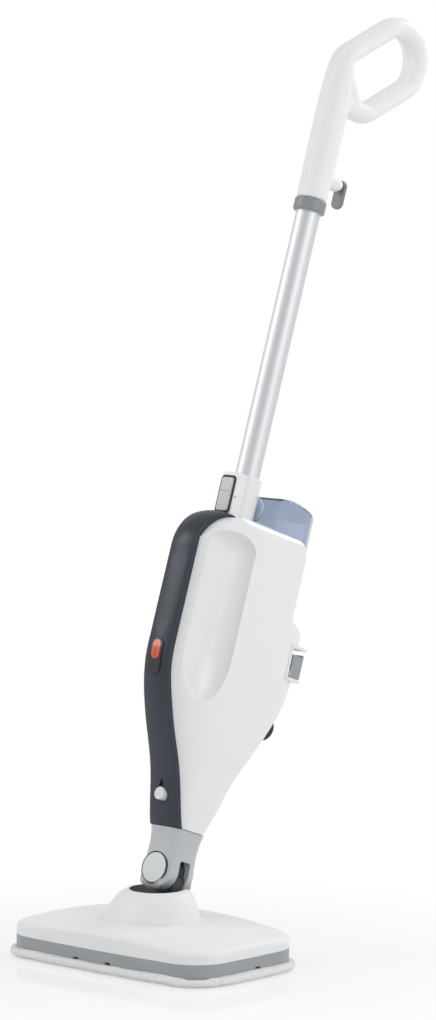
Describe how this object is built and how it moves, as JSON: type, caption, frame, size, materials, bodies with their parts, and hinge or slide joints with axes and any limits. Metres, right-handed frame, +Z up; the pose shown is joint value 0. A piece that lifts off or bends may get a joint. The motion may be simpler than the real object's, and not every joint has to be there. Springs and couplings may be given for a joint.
{
  "type": "steam mop",
  "caption": "Upright steam mop: pad-covered floor head, tilt and side-swing neck, body with blue lift-off tank and steam button, metal wand, loop handle and turning cord hook.",
  "frame": {"origin": "on the floor at the centre of the pad's underside", "axes": "+X to the mop's right, +Y to its back, the way the wand leans, +Z up"},
  "size_m": [0.3258, 0.5562, 1.0506],
  "materials": {
    "terry": "looped microfibre",
    "hook_tape": "hook tape",
    "band_grey": "moulded grey",
    "inner_black": "moulded black",
    "soft_black": "soft black rubber",
    "hose": "silicone hose",
    "white": "white moulded plastic",
    "steel": "bright steel",
    "knuckle_grey": "dark grey moulded",
    "neck_grey": "light grey moulded",
    "cap_grey": "pale grey moulded",
    "anthracite": "dark grey moulded",
    "cast_aluminium": "die cast",
    "board_green": "circuit board",
    "tube_aluminium": "satin drawn tube",
    "collar_grey": "grey moulded",
    "hook_grey": "grey moulded",
    "orange_lens": "orange lamp lens",
    "blue_cap": "pale blue moulded",
    "blue_tank": "clear blue tank plastic"
  },
  "bodies": {
    "head": {"mop_pad": "terry", "hook_strips": "hook_tape", "head_base": "band_grey", "steam_distributor": "inner_black", "head_hose": "hose", "head_cover": "white", "cover_screws": "steel", "pitch_pin": "steel", "pitch_bushes": "inner_black"},
    "knuckle": {"knuckle": "knuckle_grey"},
    "body": {"neck": "neck_grey", "roll_pin": "steel", "roll_cap_front": "cap_grey", "roll_cap_rear": "cap_grey", "right_shell": "white", "left_shell": "white", "shell_screws": "steel", "front_spine": "anthracite", "release_spring": "steel", "boiler": "cast_aluminium", "boiler_heater": "steel", "thermostat": "inner_black", "thermal_fuse": "inner_black", "pump": "inner_black", "pump_mounts": "soft_black", "water_hose": "hose", "feed_hose": "hose", "steam_hose": "hose", "tank_seat": "inner_black", "tank_seat_seal": "soft_black", "control_board": "board_green", "switch_module": "inner_black", "terminal_block": "white", "cord_gland": "soft_black", "latch_frame": "white", "latch_pin": "steel", "latch_spring": "steel", "tube_socket": "white", "lever_pin": "steel", "lever_spring": "steel", "wand_tube": "tube_aluminium", "tube_collar": "collar_grey", "handle_right": "white", "handle_left": "white", "handle_screws": "steel", "hook_screw": "steel"},
    "steam_button": {"steam_button": "anthracite", "indicator_lens": "orange_lens"},
    "release_button": {"release_button": "cap_grey"},
    "tube_lever": {"tube_lever": "cap_grey"},
    "tank": {"water_tank": "blue_tank", "tank_cap": "blue_cap", "tank_valve": "soft_black"},
    "tank_latch": {"tank_latch": "neck_grey"},
    "cord_hook": {"cord_hook": "hook_grey"}
  },
  "joints": [
    {"name": "tilt", "type": "hinge", "parent": "head", "child": "knuckle", "pos_m": [0, 0.011, 0.0532], "axis": [-1, 0, 0], "range_deg": [-19.15, 39.85]},
    {"name": "side_swing", "type": "hinge", "parent": "knuckle", "child": "body", "pos_m": [0, 0.02642, 0.0976], "axis": [0, 0.9447, -0.328], "range_deg": [-35, 35]},
    {"name": "steam_button_press", "type": "slide", "parent": "body", "child": "steam_button", "axis": [0, 0.9447, -0.328], "range_m": [0, 0.0015], "stiffness_N_per_m": 1200},
    {"name": "release_button_press", "type": "slide", "parent": "body", "child": "release_button", "axis": [0, 0.9447, -0.328], "range_m": [0, 0.004], "stiffness_N_per_m": 1500},
    {"name": "tube_lever_press", "type": "hinge", "parent": "body", "child": "tube_lever", "pos_m": [0, 0.12347, 0.51273], "axis": [1, 0, 0], "range_deg": [0, 8], "stiffness_Nm_per_rad": 0.6},
    {"name": "tank_lift", "type": "slide", "parent": "body", "child": "tank", "axis": [0, 0.328, 0.9447], "range_m": [0, 0.13]},
    {"name": "tank_latch_press", "type": "hinge", "parent": "body", "child": "tank_latch", "pos_m": [0, 0.18466, 0.30941], "axis": [1, 0, 0], "range_deg": [0, 8], "stiffness_Nm_per_rad": 0.8},
    {"name": "cord_hook_turn", "type": "hinge", "parent": "body", "child": "cord_hook", "pos_m": [0, 0.31608, 0.85552], "axis": [0, 0.9447, -0.328], "range_deg": [0, 180]}
  ]
}
